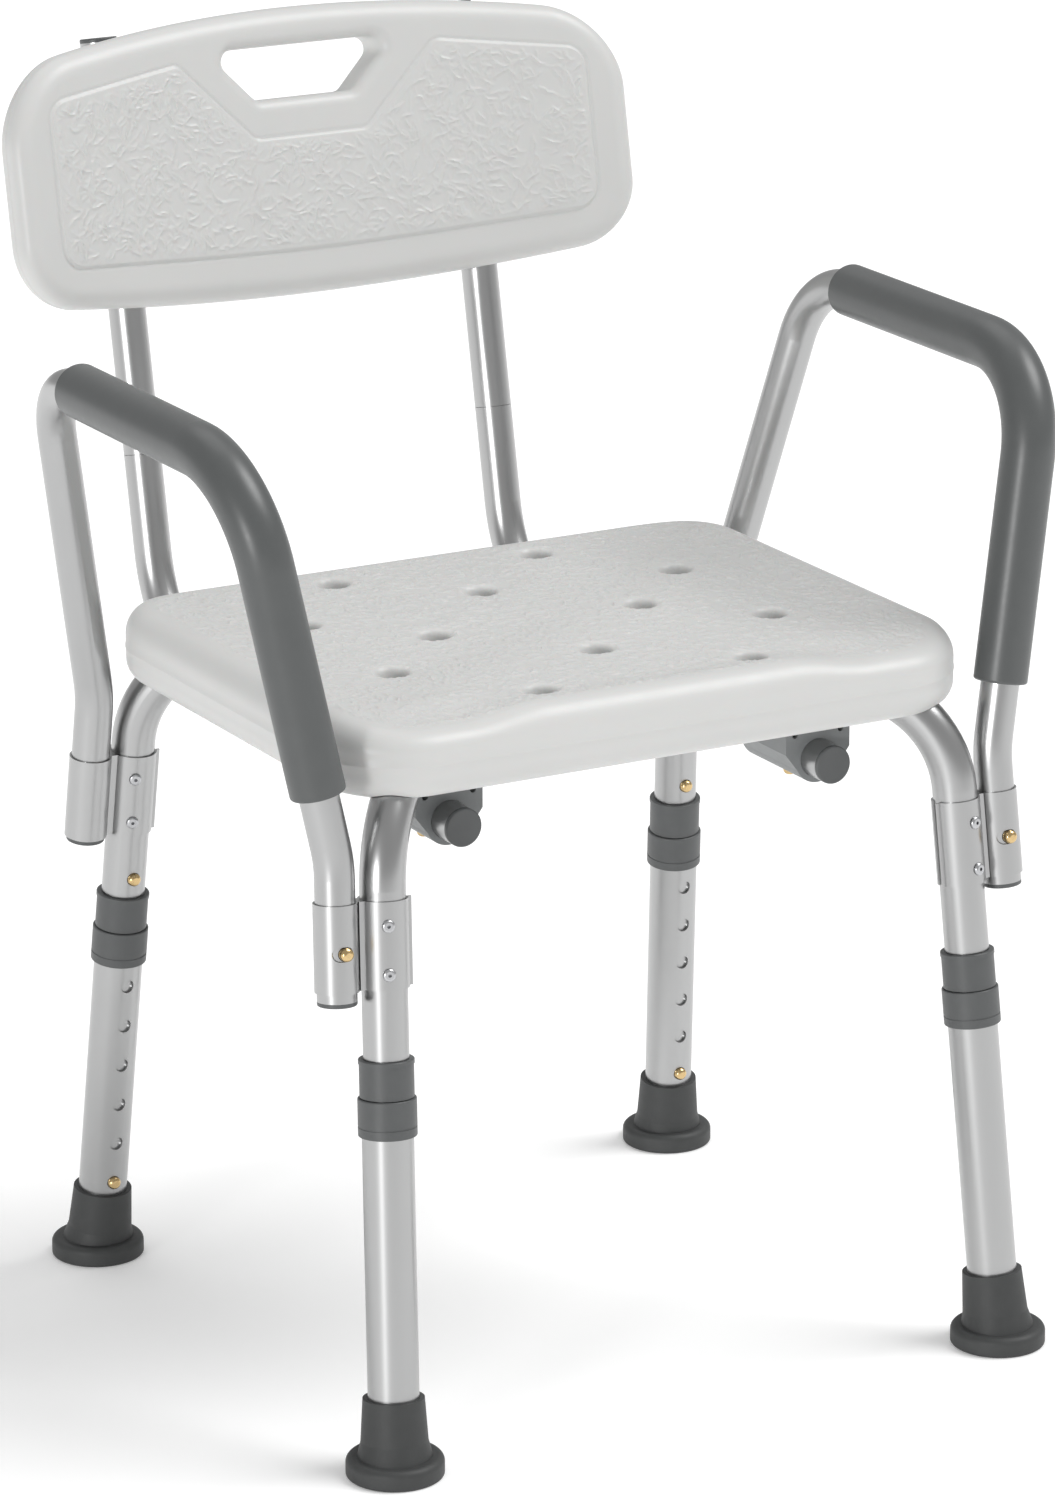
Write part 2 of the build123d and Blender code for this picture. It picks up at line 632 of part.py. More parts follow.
def panel_slab(inset, front, back):
    """Outline cut through a band that curves round the sitter."""
    outline = panel_outline(inset) - handle_outline(inset)
    block = extrude(Plane.XZ * outline, 45, both=True)
    centre = Pos(0, -PANEL_RADIUS, 0)
    band = centre * (Cylinder(PANEL_RADIUS + back, 400) - Cylinder(PANEL_RADIUS + front, 400))
    return block & band


def through_edge(edge):
    """True for the short edges that run through the slab's thickness."""
    run = edge.position_at(1) - edge.position_at(0)
    return abs(run.Y) > PANEL_THICK / 2 and abs(run.Z) < 1


def around_handle(edge):
    place = edge.center()
    return abs(place.X) < 60 and 40 < place.Z < 85


def round_rims(slab):
    """Rounds the panel's outer rims, then the rims of its hand hole."""
    rims = [e for e in slab.edges() if not through_edge(e) and not around_handle(e)]
    slab = fillet(rims, PANEL_EDGE)
    rims = [e for e in slab.edges() if not through_edge(e) and around_handle(e)]
    return fillet(rims, HANDLE_EDGE)


def back_panel():
    """Blow-moulded back: a hollow curved slab with a hand hole, nested on its posts."""
    slab = round_rims(panel_slab(0, 0, PANEL_THICK))
    cavity = panel_slab(PANEL_WALL + 2, PANEL_WALL, PANEL_THICK - PANEL_WALL - 4)
    panel = slab - cavity - Pos(0, 20, -30) * Rot(90, 0, 0) * Cylinder(2.5, 30)
    lean = degrees(atan(BACK_LEAN))
    panel = Pos(0, PANEL_FACE_Y, PANEL_Z) * Rot(-lean, 0, 0) * panel
    for sx in SIDES.values():
        post = lean_plane(sx * BACK_X, SEAM_Z)
        panel -= post * rod(ARM_OD / 2 + SEATED, 0, 300)
        for height in screw_stations():
            boss = Pos(0, 0, height) * Rot(90, 0, 0)
            panel += post * boss * rod(5.5, ARM_OD / 2 + 3, ARM_OD / 2 + 20)
            panel -= post * boss * rod(BACK_SCREW_R + SEATED, 0, ARM_OD / 2 + 14)
    return panel


def back():
    for side, sx in SIDES.items():
        save(f"lower_back_tube_{side}", lower_back_tube(sx))
        save(f"back_button_{side}", back_button(sx))
        save(f"upper_post_{side}", upper_post(sx))
    save("back_front_plugs", back_front_plugs())
    save("post_caps", post_caps())
    save("back_screws", back_screws())
    save("back_panel", back_panel())


# ---------------------------------------------------------------- holders under the seat
def holder_spans():
    rear = -HOLDER_FRONT_Y
    return {"front": (HOLDER_FRONT_Y, HOLDER_FRONT_Y + HOLDER_LENGTH), "rear": (rear - HOLDER_LENGTH, rear)}


def holder_screw_places():
    """Two screws to a holder, clear of the frame tube's groove."""
    places = []
    for sx in (-1, 1):
        for sy in (-1, 1):
            places.append((sx * (BACK_X - 25), sy * 56.0))
            places.append((sx * (BACK_X + 25), sy * 72.0))
    return places


def holder(sx, low_y, high_y, with_button):
    """Moulded saddle: ears under the seat and a round-bottomed block bored for the tube."""
    length = high_y - low_y
    place = Pos(sx * BACK_X, (low_y + high_y) / 2, 0)
    top = SEAT_BOTTOM - 0.1
    ears = Pos(0, 0, top - HOLDER_EAR_T / 2) * Box(HOLDER_EAR_W, length, HOLDER_EAR_T)
    ears = fillet(ears.edges().filter_by(Axis.Z), 6)
    profile = Pos(0, BACK_Z) * Circle(HOLDER_R)
    wide = HOLDER_W / 2
    side = sqrt(HOLDER_R**2 - 6.0**2)
    profile += make_face(Polyline(
        (-wide, top - 3), (wide, top - 3), (wide, BACK_Z + 4), (side, BACK_Z - 6.0),
        (-side, BACK_Z - 6.0), (-wide, BACK_Z + 4), close=True,
    ))
    block = Pos(0, length / 2, 0) * extrude(Plane.XZ * profile, length)
    body = ears + block
    body -= Pos(0, 0, BACK_Z) * Rot(90, 0, 0) * Cylinder(ARM_OD / 2 + SLIP, length + 2)
    for x in (-15, 15):
        body -= Pos(x, -length / 2, BACK_Z + 15) * Rot(90, 0, 0) * Cylinder(1.8, 12)
    if with_button:
        body -= Pos(0, 0, BACK_Z) * Rot(180, 0, 0) * rod(BUTTON_HOLE_R, 0, 20)
    body = place * body
    for x, y in holder_screw_places():
        body -= rod(HOLDER_SCREW_R + 2 * SLIP, BACK_Z, SEAT_BOTTOM + 1, (x, y))
    return body


def holder_screws():
    """Eight screws up through the holders' ears."""
    low = SEAT_BOTTOM - 0.1 - HOLDER_EAR_T
    screw = rod(1.8 * HOLDER_SCREW_R, low - 2.2, low - 0.05)
    screw += rod(HOLDER_SCREW_R, low - 1, SEAT_BOTTOM + 12)
    screw -= rod(1.4, low - 3, low - 1)
    return [Pos(x, y, 0) * screw for x, y in holder_screw_places()]


def holders():
    for place, (low_y, high_y) in holder_spans().items():
        for side, sx in SIDES.items():
            save(f"back_holder_{place}_{side}", holder(sx, low_y, high_y, place == "front"))


# ---------------------------------------------------------------- whole chair
save("seat_panel", seat_panel())
save("seat_screws", Compound(seat_bolts() + holder_screws()))
save("cross_tube_upper", cross_tube(1, CRUSH_HALF_THICK + 0.15))
save("cross_tube_lower", cross_tube(-1, -CRUSH_HALF_THICK - 0.15))
save("cross_rivet", cross_rivet())
arm_brackets()
holders()
legs()
arms()
back()
box = Compound(list(nodes.values())).bounding_box()
print("nodes", len(nodes), "box", box.min, box.max, "middle", box.center())
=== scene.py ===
"""Looks of the shower chair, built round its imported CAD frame.

Shapes are worked out in millimetres and written in metres. +Z is up, the sitter faces -Y,
and left is -X. The seat and the back are remade here with their moulded grain; every other
part keeps its CAD shape and gets its finish here.
"""

import json
from math import atan, atan2, cos, hypot, pi, radians, sin, tan

import bmesh
import bpy
import numpy as np
from mathutils import Matrix, Vector
from mathutils.geometry import delaunay_2d_cdt
from mathutils.kdtree import KDTree


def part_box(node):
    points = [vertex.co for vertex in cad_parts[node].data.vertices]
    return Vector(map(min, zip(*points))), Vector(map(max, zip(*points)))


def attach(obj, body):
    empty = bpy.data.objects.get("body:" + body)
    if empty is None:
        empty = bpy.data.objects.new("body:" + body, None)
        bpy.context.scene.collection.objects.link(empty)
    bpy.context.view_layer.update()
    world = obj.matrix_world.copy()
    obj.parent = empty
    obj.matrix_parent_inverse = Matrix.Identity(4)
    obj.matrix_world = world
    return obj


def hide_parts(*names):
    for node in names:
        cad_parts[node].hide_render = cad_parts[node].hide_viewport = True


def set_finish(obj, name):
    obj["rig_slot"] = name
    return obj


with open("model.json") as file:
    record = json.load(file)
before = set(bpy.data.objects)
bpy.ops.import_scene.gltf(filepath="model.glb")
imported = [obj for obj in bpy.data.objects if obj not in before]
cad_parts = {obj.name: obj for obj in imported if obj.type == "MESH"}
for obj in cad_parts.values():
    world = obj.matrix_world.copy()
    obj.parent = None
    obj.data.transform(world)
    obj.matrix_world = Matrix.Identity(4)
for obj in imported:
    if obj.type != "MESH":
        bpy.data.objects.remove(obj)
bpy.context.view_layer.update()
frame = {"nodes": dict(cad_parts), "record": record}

MM = 0.001

# Seat: sizes that its box doesn't give
SEAT_CORNER = 54.0
SEAT_RIM = (16.0, 18.0)         # how far the top's rounding runs inwards, and down
SEAT_FOOT = 13.0                # rounding of the lower rim
SEAT_PITCH = 1.0                # spacing of the top's vertices
SEAT_DISH = 4.0
SEAT_CORNER_DROP = 5.5
SEAT_GRAIN = 0.95
SEAT_GRAIN_MARGIN = 8.0
SEAM_LEVEL = 0.45               # mould parting line, as a share of the height
SEAM_PROUD = 0.3
DRAIN_R = 6.0
DRAIN_SIDES = 30
DRAIN_MOUTH = 12.0
DRAIN_PLACES = [(67, 124), (67, 0), (67, -124), (122, 54), (122, -54)]
DRAIN_MIDDLE = [(0, 68), (0, -68)]

# Crossed frame tubes, whose grooves the seat's underside needs
FOOT = (196.5, 190.5)
SPLAY = (0.0417, 0.1073)
CROSS_Z = 385.0
CROSS_BEND = 65.0
GROOVE_R = 13.4
HUB_R = 52.0
HUB_TOP = 399.2
SEAT_CENTRE_Y = 2.0             # seat's middle, from the middle of the four feet

# Back: outline in its own plane, x across and w up the lean
LEAN = atan(0.205)
BACK_RADIUS = 708.0
BACK_HALF = 204.0
BACK_SHOULDER = 76.8
BACK_HIP = -58.0
BACK_CROWN = 23.2               # rise of the top edge at the middle
BACK_BELLY = 12.0               # fall of the bottom edge at the middle
BACK_THICK = 30.0
BACK_RIM = 11.0
BACK_PITCH = 0.8
BACK_GRAIN = 1.15
FIELD_PROUD = 1.2
FIELD_SLOPE = 1.6
POST_X = 118.5
POST_GROOVE_R = 11.2
HANDLE = [(-62, 78), (-32, 47), (32, 47), (62, 78)]
HANDLE_CORNER = 7.0
HANDLE_RIM = 7.5


# ---------------------------------------------------------------- outlines in the plane
def smooth(low, high, value):
    t = np.clip((value - low) / (high - low), 0, 1)
    return t * t * (3 - 2 * t)


def resampled(loop, pitch):
    """The same closed outline with evenly spaced points."""
    closed = np.vstack([loop, loop[:1]])
    along = np.r_[0, np.cumsum(np.hypot(*np.diff(closed, axis=0).T))]
    at = np.linspace(0, along[-1], round(along[-1] / pitch), endpoint=False)
    return np.c_[np.interp(at, along, closed[:, 0]), np.interp(at, along, closed[:, 1])]


def rounded(corners, radii, pitch):
    """Closed counter-clockwise outline with an arc at each corner."""
    corners = [np.array(c, float) for c in corners]
    points = []
    for k, corner in enumerate(corners):
        before = corner - corners[k - 1]
        after = corners[(k + 1) % len(corners)] - corner
        before = before / np.hypot(*before)
        after = after / np.hypot(*after)
        turn = atan2(before[0] * after[1] - before[1] * after[0], before @ after)
        radius = radii[k] * (1 if turn > 0 else -1)
        left = np.array((-before[1], before[0]))
        centre = corner - before * radius * tan(turn / 2) + left * radius
        for a in np.linspace(0, turn, 3 + int(abs(turn) * radii[k] / pitch)):
            spun = np.array((left[0] * cos(a) - left[1] * sin(a), left[0] * sin(a) + left[1] * cos(a)))
            points.append(centre - spun * radius)
    return resampled(np.array(points), pitch)


def circle(centre, radius, count):
    a = np.linspace(0, 2 * pi, count, endpoint=False)
    return np.array(centre) + radius * np.c_[np.cos(a), np.sin(a)]


def inset(loop, distance):
    """The outline moved inwards, point for point."""
    along = np.roll(loop, -1, 0) - np.roll(loop, 1, 0)
    outward = np.c_[along[:, 1], -along[:, 0]] / np.hypot(*along.T)[:, None]
    return loop - outward * distance


def inside(points, loop):
    """True for the points that the closed outline holds."""
    found = np.zeros(len(points), bool)
    for a, b in zip(loop, np.roll(loop, -1, 0)):
        spans = (a[1] > points[:, 1]) != (b[1] > points[:, 1])
        if spans.any():
            cross = a[0] + (points[spans, 1] - a[1]) * (b[0] - a[0]) / (b[1] - a[1])
            found[np.flatnonzero(spans)[points[spans, 0] < cross]] ^= True
    return found


def distance_to(points, loops):
    """Distance from each point to the nearest point of some outlines."""
    marks = np.vstack(loops)
    tree = KDTree(len(marks))
    for k, (x, y) in enumerate(marks):
        tree.insert((x, y, 0), k)
    tree.balance()
    return np.array([tree.find((x, y, 0))[2] for x, y in points])


def hex_grid(loop, pitch):
    """Evenly spread points over an outline's box."""
    low, high = loop.min(0), loop.max(0)
    rows = np.arange(low[1], high[1], pitch * sin(pi / 3))
    columns = np.arange(low[0], high[0], pitch)
    x, y = np.meshgrid(columns, rows)
    x = x + (np.arange(len(rows)) % 2)[:, None] * pitch / 2
    return np.c_[x.ravel(), y.ravel()]


def clear_grid(loops, creases, pitch):
    """Grid over the first loop less the others, clear of every loop and crease."""
    grid = hex_grid(loops[0], pitch)
    grid = grid[inside(grid, loops[0])]
    for hole in loops[1:]:
        grid = grid[~inside(grid, hole)]
    return grid[distance_to(grid, loops + creases) > pitch * 0.6]


# ---------------------------------------------------------------- closed surfaces
def closed_mesh(name, points, faces):
    """Object from metres and faces of a closed surface, with its faces turned outwards."""
    data = bpy.data.meshes.new(name)
    data.from_pydata(points.tolist(), [], faces)
    turned = bmesh.new()
    turned.from_mesh(data)
    bmesh.ops.recalc_face_normals(turned, faces=turned.faces)
    turned.to_mesh(data)
    turned.free()
    piece = bpy.data.objects.new(name, data)
    bpy.context.scene.collection.objects.link(piece)
    return piece


class Surface:
    """Points and faces of one closed surface, in millimetres."""

    def __init__(self):
        self.points = []
        self.faces = []
        self.count = 0

    def add(self, flat, height):
        """Adds a loop or a patch of points at some height and gives the first one's number."""
        start = self.count
        height = np.broadcast_to(height, len(flat))
        self.points.append(np.c_[flat, height])
        self.count += len(flat)
        return start

    def band(self, first, second, size):
        """Quads between two loops."""
        for k in range(size):
            m = (k + 1) % size
            self.faces.append((first + k, first + m, second + m, second + k))

    def fill(self, loops, starts, creases, inner, height):
        """Triangles over the first loop less the others, all added before, through more points inside."""
        ids = np.concatenate([np.arange(s, s + len(loop)) for s, loop in zip(starts, loops)])
        extra = np.vstack(creases + [inner])
        ids = np.r_[ids, self.add(extra, height(extra)) + np.arange(len(extra))]
        edges = []
        base = 0
        for loop in loops + creases:
            edges += [(base + k, base + (k + 1) % len(loop)) for k in range(len(loop))]
            base += len(loop)
        points = np.vstack(loops + [extra])
        triangles = np.array(delaunay_2d_cdt([Vector(p) for p in points], edges, [], 0, 1e-6)[2])
        on_edge = sum(len(loop) for loop in loops)
        doubtful = np.flatnonzero((triangles < on_edge).all(1))
        middles = points[triangles[doubtful]].mean(1)
        good = inside(middles, loops[0])
        for hole in loops[1:]:
            good &= ~inside(middles, hole)
        triangles = np.delete(triangles, doubtful[~good], 0)
        self.faces += [tuple(f) for f in ids[triangles].tolist()]

    def mesh(self, name, place):
        """Makes the object; place turns this surface's millimetres into the frame's metres."""
        return closed_mesh(name, place(np.vstack(self.points)), self.faces)


def shade(piece, degrees):
    """Smooth shading, with an edge kept where the surface turns sharply."""
    piece.data.shade_smooth()
    piece.data.set_sharp_from_angle(angle=radians(degrees))


def cut_away(piece, cutters):
    """Subtracts closed meshes from a piece and removes them."""
    for cutter in cutters:
        modifier = piece.modifiers.new("cut", "BOOLEAN")
        modifier.operation = "DIFFERENCE"
        modifier.solver = "MANIFOLD"
        modifier.object = cutter
    seen = bpy.context.evaluated_depsgraph_get()
    piece.data = bpy.data.meshes.new_from_object(piece.evaluated_get(seen))
    piece.modifiers.clear()
    for cutter in cutters:
        bpy.data.objects.remove(cutter)


def lofted(name, rings):
    """Closed solid through rings of millimetre points, with flat ends."""
    size = len(rings[0])
    faces = []
    for r in range(len(rings) - 1):
        for k in range(size):
            m = (k + 1) % size
            faces.append((r * size + k, r * size + m, (r + 1) * size + m, (r + 1) * size + k))
    faces.append(tuple(range(size)))
    faces.append(tuple(range((len(rings) - 1) * size, len(rings) * size)))
    return closed_mesh(name, np.vstack(rings) * MM, faces)


def swept(name, path, section):
    """Solid with a section of (sideways, upwards) points along a path that starts level."""
    path = np.array(path)
    along = np.gradient(path, axis=0)
    along /= np.linalg.norm(along, axis=1)[:, None]
    side = np.cross(along[0], (0, 0, 1))
    side /= np.linalg.norm(side)
    return lofted(name, [
        point + section[:, :1] * side + section[:, 1:] * np.cross(side, way)
        for point, way in zip(path, along)
    ])


# ---------------------------------------------------------------- moulded grain
GRAIN_CELL = 0.5
STROKE_STEP = 0.8
HEADING_SPACING = 36            # wrinkles this far apart run in different directions
DENT_SPACING = (7, 4)
DENT_SHARE = 0.3


def soft_noise(rng, shape, spacing):
    """Smooth random raster, 0 to 1, with features about `spacing` cells wide."""
    rows = int(shape[0] / spacing) + 3
    columns = int(shape[1] / spacing) + 3
    coarse = rng.random((rows, columns))
    y = np.arange(shape[0]) / spacing
    x = np.arange(shape[1]) / spacing
    r, c = y.astype(int), x.astype(int)
    fy = smooth(0, 1, y - r)[:, None]
    fx = smooth(0, 1, x - c)[None, :]
    upper = coarse[r][:, c] * (1 - fx) + coarse[r][:, c + 1] * fx
    lower = coarse[r + 1][:, c] * (1 - fx) + coarse[r + 1][:, c + 1] * fx
    return upper * (1 - fy) + lower * fy


def crackle(seed, size, area_each, lengths, half_width, crooked):
    """Raster, 0 to 1, of short crooked raised wrinkles, as on crushed leather."""
    rng = np.random.default_rng(seed)
    columns, rows = (np.array(size) / GRAIN_CELL).astype(int)
    field = np.zeros((rows, columns))
    heading_field = soft_noise(rng, (rows, columns), HEADING_SPACING / GRAIN_CELL) * 3 * pi
    for _ in range(int(size[0] * size[1] / area_each)):
        start = rng.random(2) * size
        column, row = np.minimum((start / GRAIN_CELL).astype(int), (columns - 1, rows - 1))
        steps = int(rng.uniform(*lengths) / STROKE_STEP)
        heading = heading_field[row, column] + rng.normal(0, 0.8) + np.cumsum(rng.normal(0, crooked, steps))
        path = start + np.cumsum(STROKE_STEP * np.c_[np.cos(heading), np.sin(heading)], axis=0)
        taper = rng.uniform(0.45, 1) * np.sin(np.linspace(0.35, pi - 0.35, steps)) ** 0.6
        low = np.maximum(((path.min(0) - 3 * half_width) / GRAIN_CELL).astype(int), 0)
        high = np.minimum(((path.max(0) + 3 * half_width) / GRAIN_CELL).astype(int), (columns, rows))
        if (high <= low).any():
            continue
        x = np.arange(low[0], high[0])[None, :, None] * GRAIN_CELL
        y = np.arange(low[1], high[1])[:, None, None] * GRAIN_CELL
        away = (x - path[:, 0]) ** 2 + (y - path[:, 1]) ** 2
        ridge = (taper * np.exp(-away / (2 * half_width**2))).max(2)
        patch = field[low[1]:high[1], low[0]:high[0]]
        np.maximum(patch, ridge, out=patch)
    dents = soft_noise(rng, (rows, columns), DENT_SPACING[0] / GRAIN_CELL)
    dents = dents * soft_noise(rng, (rows, columns), DENT_SPACING[1] / GRAIN_CELL)
    return field + DENT_SHARE * dents


def sampled(raster, points, middle):
    """Raster values at points, with the raster's middle at a given place."""
    rows, columns = raster.shape
    x = np.clip((points[:, 0] - middle[0]) / GRAIN_CELL + columns / 2, 0, columns - 1.001)
    y = np.clip((points[:, 1] - middle[1]) / GRAIN_CELL + rows / 2, 0, rows - 1.001)
    c, r = x.astype(int), y.astype(int)
    fx, fy = x - c, y - r
    upper = raster[r, c] * (1 - fx) + raster[r, c + 1] * fx
    lower = raster[r + 1, c] * (1 - fx) + raster[r + 1, c + 1] * fx
    return upper * (1 - fy) + lower * fy


# ---------------------------------------------------------------- seat
seat_low, seat_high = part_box("seat_panel")
seat_middle = (seat_low + seat_high) / 2
seat_size = (seat_high - seat_low) / MM
SEAT_HALF = (seat_size.x / 2, seat_size.y / 2)
SEAT_HEIGHT = seat_size.z
seat_grain = crackle(5, (410, 335), 17, (3.5, 10), 0.55, 0.35)


def seat_frame(points):
    """Seat millimetres, from the middle of its underside, to the frame's metres."""
    return points * MM + np.array((seat_middle.x, seat_middle.y, seat_low.z))


def drain_places():
    return [(side * x, y) for x, y in DRAIN_PLACES for side in (-1, 1)] + DRAIN_MIDDLE


def seat_top(points):
    """Height of the seat's upper surface: dished, dropped at the front corners, with drain mouths."""
    x, y = np.abs(points[:, 0]), points[:, 1]
    to_side = SEAT_HALF[0] - x
    to_front = SEAT_HALF[1] + y
    height = SEAT_HEIGHT - SEAT_DISH * smooth(6, 52, to_side) * smooth(-2, 40, to_front)
    height -= SEAT_CORNER_DROP * smooth(78, 128, x) * smooth(52, 8, to_front)
    for place in drain_places():
        r = np.hypot(*(points - place).T)
        height -= DRAIN_MOUTH * np.exp(-(np.maximum(r - DRAIN_R, 0) / 2.0) ** 1.2)
    return height


def seat_field(points):
    """Where the grain is: 1 over the middle, 0 at the rim and in the drain mouths."""
    x, y = np.abs(points[:, 0]), np.abs(points[:, 1])
    corner = SEAT_CORNER - SEAT_GRAIN_MARGIN
    over_x = np.maximum(x - (SEAT_HALF[0] - SEAT_CORNER), 0)
    over_y = np.maximum(y - (SEAT_HALF[1] - SEAT_CORNER), 0)
    field = smooth(0, 6, corner - np.hypot(over_x, over_y))
    for place in drain_places():
        field *= smooth(8, 14, np.hypot(*(points - place).T))
    return field


def grained_seat(points):
    return seat_top(points) + SEAT_GRAIN * seat_field(points) * sampled(seat_grain, points, (0, 0))


def seat_rim_profile():
    """Inset and height of each loop round the seat, from its underside to the parting line's top."""
    turns = np.linspace(0, pi / 2, 8)
    rows = [(SEAT_FOOT * (1 - sin(a)), SEAT_FOOT * (1 - cos(a))) for a in turns]
    seam = SEAT_HEIGHT * SEAM_LEVEL
    for rise, proud in ((-6, 0), (-1.2, 0), (-0.5, SEAM_PROUD), (0.5, SEAM_PROUD), (1.2, 0)):
        rows.append((-proud, seam + rise))
    return rows


def seat_mesh():
    """The seat as one closed surface: underside, rim, grained top and twelve drains."""
    half_x, half_y = SEAT_HALF
    corners = [(half_x, -half_y), (half_x, half_y), (-half_x, half_y), (-half_x, -half_y)]
    outline = rounded(corners, [SEAT_CORNER] * 4, SEAT_PITCH * 1.15)
    surface = Surface()
    rim_in, rim_down = SEAT_RIM
    rows = [surface.add(inset(outline, depth), height) for depth, height in seat_rim_profile()]
    underside = inset(outline, SEAT_FOOT)
    crest = inset(outline, rim_in)
    shoulder = SEAT_HEIGHT - rim_down
    rise = seat_top(crest) - shoulder
    for a in np.linspace(0, pi / 2, 15):
        rows.append(surface.add(inset(outline, rim_in * (1 - cos(a))), shoulder + rise * sin(a)))
    for lower, upper in zip(rows, rows[1:]):
        surface.band(lower, upper, len(outline))
    mouths = [circle(place, DRAIN_R, DRAIN_SIDES) for place in drain_places()]
    ends = [circle(place, DRAIN_R + 0.8, DRAIN_SIDES) for place in drain_places()]
    tops = [surface.add(mouth, seat_top(mouth)) for mouth in mouths]
    lows = [surface.add(end, 0) for end in ends]
    for mouth, top, low in zip(mouths, tops, lows):
        throat = surface.add(mouth, 1.0)
        surface.band(top, throat, DRAIN_SIDES)
        surface.band(throat, low, DRAIN_SIDES)
    grid = clear_grid([crest] + mouths, [], SEAT_PITCH)
    surface.fill([crest] + mouths, [rows[-1]] + tops, [], grid, grained_seat)
    grid = clear_grid([underside] + ends, [], 6.0)
    surface.fill([underside] + ends, [rows[0]] + lows, [], grid, lambda points: np.zeros(len(points)))
    return surface.mesh("seat_shell", seat_frame)


def cross_route(side):
    """Half the centre line of a crossed frame tube: where its bend starts, and the bend and leg."""
    knee = np.array((side * (FOOT[0] - SPLAY[0] * CROSS_Z), FOOT[1] - SPLAY[1] * CROSS_Z, CROSS_Z))
    down = np.array((side * SPLAY[0], SPLAY[1], -1)) / hypot(*SPLAY, 1)
    level = np.array((knee[0], knee[1], 0)) / hypot(knee[0], knee[1])
    turn = np.arccos(level @ down)
    start = knee - level * CROSS_BEND * tan(turn / 2)
    inward = down - level * (level @ down)
    inward /= np.linalg.norm(inward)
    centre = start + inward * CROSS_BEND
    bend = [centre + CROSS_BEND * (level * sin(a) - inward * cos(a)) for a in np.linspace(0, turn, 24)]
    return start, [*bend, bend[-1] + down * 40]


def seat_grooves():
    """Cutters for the tubes' grooves and the recess round their crossing, in the underside."""
    middle = np.array((seat_middle.x / MM, seat_middle.y / MM - SEAT_CENTRE_Y, 0))
    arch = circle((0, 0), GROOVE_R, 48)[:25]
    trench = np.vstack([arch, [(-GROOVE_R, -40), (GROOVE_R, -40)]])
    ring = circle((0, 0), GROOVE_R - 0.03, 40)
    half_turn = np.array((-1, -1, 1))
    cutters = []
    for side in (-1, 1):
        start, bend = cross_route(side)
        cutters.append(swept("trench", [middle + start * half_turn, middle + start], trench))
        cutters.append(swept("bend", [middle + p for p in bend], ring))
        cutters.append(swept("bend", [middle + p * half_turn for p in bend], ring))
    hub = circle((0, 0), HUB_R, 72)
    below = seat_low.z / MM - 10
    cutters.append(lofted("hub", [middle + np.c_[hub, np.full(len(hub), z)] for z in (below, HUB_TOP)]))
    return cutters


def make_seat():
    seat = seat_mesh()
    cut_away(seat, seat_grooves())
    shade(seat, 38)
    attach(seat, "frame")
    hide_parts("seat_panel")
    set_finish(seat, "white_plastic")
    return seat


# ---------------------------------------------------------------- back
back_low, back_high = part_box("back_panel")
back_grain = crackle(11, (400, 160), 21, (5, 17), 0.5, 0.24)


def back_outline(pitch):
    """Arched outline of the back, counter-clockwise."""
    w = BACK_HALF
    corners = [(w, BACK_HIP), (w, BACK_SHOULDER), (-w, BACK_SHOULDER), (-w, BACK_HIP)]
    loop = rounded(corners, [35, 45, 45, 35], pitch)
    bulge = 1 - (loop[:, 0] / w) ** 2
    share = smooth(BACK_HIP, BACK_SHOULDER, loop[:, 1])
    loop[:, 1] += bulge * (BACK_CROWN * share - BACK_BELLY * (1 - share))
    return resampled(loop, pitch)


def field_outline(pitch):
    """Edge of the grained field: it steps down round the hand hole."""
    corners = [
        (0, -44.5), (177, -37), (177, 58), (86, 72), (37.5, 23.5),
        (-37.5, 23.5), (-86, 72), (-177, 58), (-177, -37),
    ]
    return rounded(corners, [2000, 13, 13, 7, 9, 9, 7, 13, 13], pitch)


def back_frame(points):
    """Back millimetres (across, up the lean, out towards the sitter) to the frame's metres."""
    across, up = points[:, 0], points[:, 1]
    depth = BACK_THICK - points[:, 2] - across**2 / (2 * BACK_RADIUS)
    y = up * sin(LEAN) + depth * cos(LEAN)
    z = up * cos(LEAN) - depth * sin(LEAN)
    y += back_high.y / MM - y.max()
    z += back_high.z / MM - z.max()
    return np.c_[across, y, z] * MM


def back_face(field):
    """Height function of the front: the field stands proud, and its grain is raised on it."""
    def height(points):
        away = distance_to(points, [field]) * np.where(inside(points, field), 1, -1)
        step = smooth(-FIELD_SLOPE / 2, FIELD_SLOPE / 2, away)
        groove = 0.5 * np.exp(-((away + 1.5) / 0.8) ** 2)
        grain = BACK_GRAIN * smooth(1.2, 5, away) * sampled(back_grain, points, (0, 14))
        return BACK_THICK + FIELD_PROUD * step - groove + grain
    return height


def rim_rows(surface, loop, radius, thick, foot):
    """Loops from the rear rim to the front rim of an edge; radius and foot are its two roundings."""
    rows = []
    for a in np.linspace(0, pi / 2, 9):
        rows.append(surface.add(inset(loop, foot * (1 - sin(a))), abs(foot) * (1 - cos(a))))
    seam = thick * 0.47
    proud = SEAM_PROUD * (1 if foot > 0 else 0)
    for rise, out in ((-1.2, 0), (-0.5, proud), (0.5, proud), (1.2, 0)):
        rows.append(surface.add(inset(loop, -out), seam + rise))
    for a in np.linspace(0, pi / 2, 13):
        rows.append(surface.add(inset(loop, radius * (1 - cos(a))), thick - abs(radius) * (1 - sin(a))))
    for lower, upper in zip(rows, rows[1:]):
        surface.band(lower, upper, len(loop))
    return rows[0], rows[-1]


